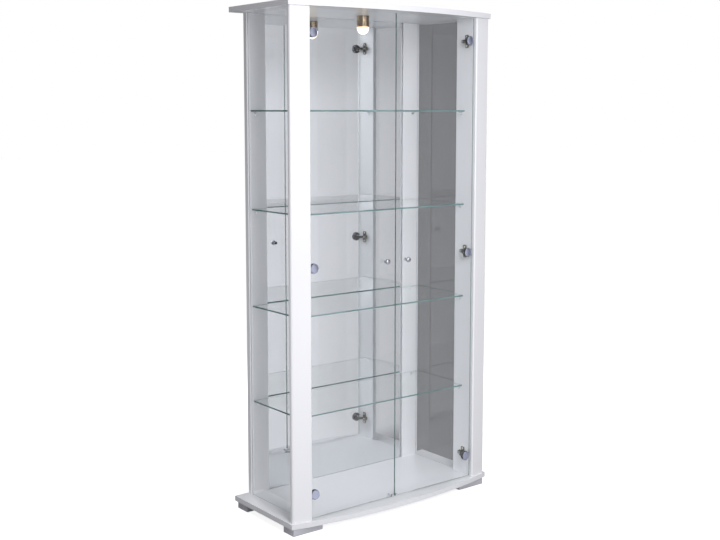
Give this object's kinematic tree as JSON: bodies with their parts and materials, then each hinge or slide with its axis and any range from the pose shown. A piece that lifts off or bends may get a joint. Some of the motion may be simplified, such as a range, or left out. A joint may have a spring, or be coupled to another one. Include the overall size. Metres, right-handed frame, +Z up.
{
  "type": "curio cabinet",
  "caption": "Tall bow-fronted glass display cabinet: white boards and pilasters, hinged glass doors, glass side panes and shelves, mirror back, top lamp, silver-grey block feet.",
  "frame": {"origin": "centre of the footprint on the floor", "axes": "+Z up; the doors face -Y; +X to the right as seen from the front"},
  "size_m": [0.886, 0.41, 1.758],
  "materials": {
    "board_laminate": "satin white laminate on wood board",
    "foot_silver": "satin silver grey",
    "side_glass": "clear polished glass with a green edge",
    "shelf_glass": "clear polished glass with a teal-green edge",
    "door_glass": "clear polished glass with a dark green edge",
    "mirror": "silvered glass",
    "back_panel": "matt white hardboard",
    "support_steel": "satin nickel plate",
    "hinge_steel": "nickel plate",
    "chrome": "polished chrome",
    "lamp_metal": "polished chrome, warm in the lamp light",
    "lamp_bulb": "opal glass, lit warm white",
    "grommet": "light grey moulded rubber",
    "catch_plastic": "moulded light grey plastic"
  },
  "bodies": {
    "cabinet": {"base_board": "board_laminate", "top_board": "board_laminate", "foot_front_left": "foot_silver", "foot_front_right": "foot_silver", "foot_rear_left": "foot_silver", "foot_rear_right": "foot_silver", "pilaster_left": "board_laminate", "pilaster_right": "board_laminate", "rear_post_left": "board_laminate", "rear_post_right": "board_laminate", "side_glass_left": "side_glass", "side_glass_right": "side_glass", "back_mirror": "mirror", "back_panel": "back_panel", "shelf_1": "shelf_glass", "shelf_1_support_front_left": "support_steel", "shelf_1_support_front_right": "support_steel", "shelf_1_support_rear_left": "support_steel", "shelf_1_support_rear_right": "support_steel", "shelf_2": "shelf_glass", "shelf_2_support_front_left": "support_steel", "shelf_2_support_front_right": "support_steel", "shelf_2_support_rear_left": "support_steel", "shelf_2_support_rear_right": "support_steel", "shelf_3": "shelf_glass", "shelf_3_support_front_left": "support_steel", "shelf_3_support_front_right": "support_steel", "shelf_3_support_rear_left": "support_steel", "shelf_3_support_rear_right": "support_steel", "shelf_4": "shelf_glass", "shelf_4_support_front_left": "support_steel", "shelf_4_support_front_right": "support_steel", "shelf_4_support_rear_left": "support_steel", "shelf_4_support_rear_right": "support_steel", "hinge_arm_left_lower": "hinge_steel", "hinge_arm_left_middle": "hinge_steel", "hinge_arm_left_upper": "hinge_steel", "hinge_arm_right_lower": "hinge_steel", "hinge_arm_right_middle": "hinge_steel", "hinge_arm_right_upper": "hinge_steel", "lamp_holder": "lamp_metal", "lamp_bulb": "lamp_bulb", "cable_grommet": "grommet", "magnetic_catch": "catch_plastic"},
    "door_left": {"door_glass_left": "door_glass", "knob_left": "chrome", "striker_left": "chrome", "hinge_cup_left_lower": "chrome", "hinge_cup_left_middle": "chrome", "hinge_cup_left_upper": "chrome"},
    "door_right": {"door_glass_right": "door_glass", "knob_right": "chrome", "striker_right": "chrome", "hinge_cup_right_lower": "chrome", "hinge_cup_right_middle": "chrome", "hinge_cup_right_upper": "chrome"}
  },
  "joints": [
    {"name": "door_left_hinge", "type": "hinge", "parent": "cabinet", "child": "door_left", "pos_m": [-0.343, -0.143, 0.8925], "axis": [0, 0, -1], "range_deg": [0, 95]},
    {"name": "door_right_hinge", "type": "hinge", "parent": "cabinet", "child": "door_right", "pos_m": [0.343, -0.143, 0.8925], "axis": [0, 0, 1], "range_deg": [0, 95]}
  ]
}
